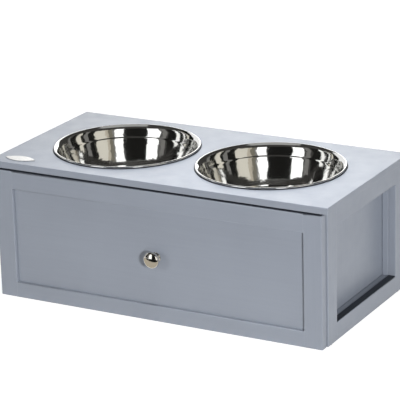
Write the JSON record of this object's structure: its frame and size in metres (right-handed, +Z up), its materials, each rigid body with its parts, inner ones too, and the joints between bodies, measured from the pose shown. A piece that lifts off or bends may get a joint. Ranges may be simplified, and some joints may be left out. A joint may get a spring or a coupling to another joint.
{
  "type": "elevated pet feeder with drawer",
  "caption": "Low painted table that holds lift-out steel bowls in its top over a full-width storage drawer with a round knob.",
  "frame": {"origin": "on the floor, under the middle of the box that holds the whole part with its drawer shut", "axes": "+X to the right of someone who faces the drawer, +Y towards the back, +Z up"},
  "size_m": [0.6, 0.3166, 0.2349],
  "materials": {
    "painted_wood": "satin blue-grey paint over fibreboard",
    "drawer_wood": "clear-sealed birch plywood",
    "bare_wood": "bare softwood and hardboard",
    "bowl_steel": "polished stainless steel",
    "zinc_steel": "zinc-plated steel",
    "knob_metal": "polished nickel",
    "plate_metal": "satin steel, blank",
    "rubber": "matt rubber"
  },
  "bodies": {
    "case": {"top_board": "painted_wood", "blank_plate": "plate_metal", "side_left_outer_front_stile": "painted_wood", "side_left_outer_back_stile": "painted_wood", "side_left_outer_top_rail": "painted_wood", "side_left_outer_bottom_rail": "painted_wood", "side_left_inner_front_stile": "painted_wood", "side_left_inner_back_stile": "painted_wood", "side_left_inner_top_rail": "painted_wood", "side_left_inner_bottom_rail": "painted_wood", "side_left_panel": "painted_wood", "side_right_outer_front_stile": "painted_wood", "side_right_outer_back_stile": "painted_wood", "side_right_outer_top_rail": "painted_wood", "side_right_outer_bottom_rail": "painted_wood", "side_right_inner_front_stile": "painted_wood", "side_right_inner_back_stile": "painted_wood", "side_right_inner_top_rail": "painted_wood", "side_right_inner_bottom_rail": "painted_wood", "side_right_panel": "painted_wood", "front_top_rail": "painted_wood", "front_bottom_rail": "painted_wood", "back_top_rail": "painted_wood", "back_bottom_rail": "painted_wood", "back_panel": "painted_wood", "dust_panel": "bare_wood", "block_front_left": "bare_wood", "block_front_right": "bare_wood", "block_back_left": "bare_wood", "block_back_right": "bare_wood", "foot_front_left": "rubber", "foot_front_right": "rubber", "foot_back_left": "rubber", "foot_back_right": "rubber", "slide_left_case_member": "zinc_steel", "slide_right_case_member": "zinc_steel"},
    "drawer": {"slide_left_drawer_member": "zinc_steel", "slide_right_drawer_member": "zinc_steel", "drawer_front_stile_left": "painted_wood", "drawer_front_stile_right": "painted_wood", "drawer_front_rail_top": "painted_wood", "drawer_front_rail_bottom": "painted_wood", "drawer_front_panel": "painted_wood", "drawer_wall_left": "drawer_wood", "drawer_wall_right": "drawer_wood", "drawer_wall_front": "drawer_wood", "drawer_wall_back": "drawer_wood", "drawer_floor": "drawer_wood", "bumper_left": "rubber", "bumper_right": "rubber", "knob": "knob_metal", "knob_rose": "knob_metal", "knob_screw": "zinc_steel"},
    "slide_left": {"slide_left_middle_member": "zinc_steel"},
    "slide_right": {"slide_right_middle_member": "zinc_steel"},
    "bowl_left": {"bowl_left": "bowl_steel"},
    "bowl_right": {"bowl_right": "bowl_steel"}
  },
  "joints": [
    {"name": "drawer_pull", "type": "slide", "parent": "case", "child": "drawer", "axis": [0, -1, 0], "range_m": [0, 0.22]},
    {"name": "slide_left_travel", "type": "slide", "parent": "case", "child": "slide_left", "axis": [0, -1, 0], "range_m": [0, 0.11]},
    {"name": "slide_right_travel", "type": "slide", "parent": "case", "child": "slide_right", "axis": [0, -1, 0], "range_m": [0, 0.11]},
    {"name": "bowl_left_lift", "type": "slide", "parent": "case", "child": "bowl_left", "axis": [0, 0, 1], "range_m": [0, 0.1]},
    {"name": "bowl_right_lift", "type": "slide", "parent": "case", "child": "bowl_right", "axis": [0, 0, 1], "range_m": [0, 0.1]}
  ],
  "couplings": [
    {"joint": "slide_left_travel", "follows": "drawer_pull", "ratio": 0.5},
    {"joint": "slide_right_travel", "follows": "drawer_pull", "ratio": 0.5}
  ]
}
